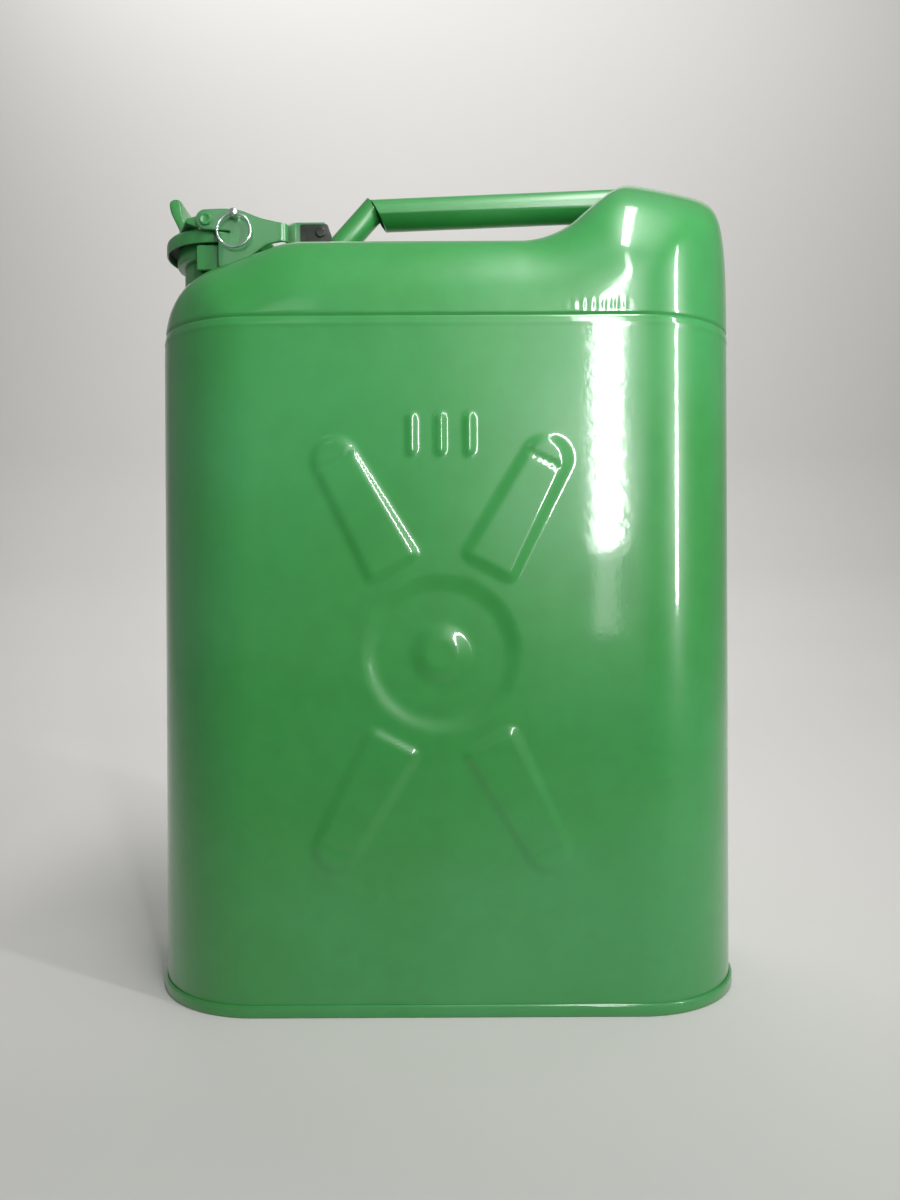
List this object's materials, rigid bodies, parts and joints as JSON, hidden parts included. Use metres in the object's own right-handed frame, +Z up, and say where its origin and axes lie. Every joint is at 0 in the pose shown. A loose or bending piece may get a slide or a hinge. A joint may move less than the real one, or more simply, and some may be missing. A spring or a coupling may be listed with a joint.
{
  "type": "jerry can",
  "caption": "Pressed steel fuel can with a tube handle, an air hump, a filler neck and a hinged lid that a cam lever and a locking pin hold shut.",
  "frame": {"origin": "on the ground plane under the middle of the can's body, in the plane of the base rim", "axes": "+Z up, +X from the filler closure towards the air hump, -Y the front embossed face"},
  "size_m": [0.3509, 0.169, 0.4937],
  "materials": {
    "green_paint": "gloss green enamel",
    "black_paint": "satin black paint",
    "bare_steel": "plain bright steel",
    "zinc_plate": "bright zinc plate",
    "gasket_rubber": "moulded rubber"
  },
  "bodies": {
    "can": {"body_sleeve": "green_paint", "top_pan": "green_paint", "bottom_pan": "green_paint", "handle_grip": "green_paint", "handle_post": "green_paint", "filler_neck": "green_paint", "mouth_ring": "green_paint", "neck_lug_front": "green_paint", "neck_lug_back": "green_paint", "lug_stud_front": "bare_steel", "lug_stud_back": "bare_steel", "breather_tube": "bare_steel", "hinge_ear_front": "black_paint", "hinge_ear_back": "black_paint", "hinge_pin": "bare_steel"},
    "closure": {"closure_yoke": "green_paint", "trunnion_rivet_front": "green_paint", "trunnion_rivet_back": "green_paint", "lid": "green_paint", "lid_gasket": "gasket_rubber"},
    "lever": {"cam_lever": "green_paint"},
    "pin": {"locking_pin": "zinc_plate"},
    "ring": {"pull_ring": "zinc_plate"}
  },
  "joints": [
    {"name": "lid_hinge", "type": "hinge", "parent": "can", "child": "closure", "pos_m": [-0.0782, 0, 0.4621], "axis": [0, 1, 0], "range_deg": [0, 105]},
    {"name": "lever_pivot", "type": "hinge", "parent": "closure", "child": "lever", "pos_m": [-0.1436, 0, 0.4602], "axis": [0, 1, 0], "range_deg": [0, 90]},
    {"name": "pin_slide", "type": "slide", "parent": "closure", "child": "pin", "axis": [0, -1, 0], "range_m": [0, 0.01]},
    {"name": "ring_swing", "type": "hinge", "parent": "pin", "child": "ring", "pos_m": [-0.1259, -0.0426, 0.4622], "axis": [-1, 0, 0], "range_deg": [0, 90]}
  ]
}
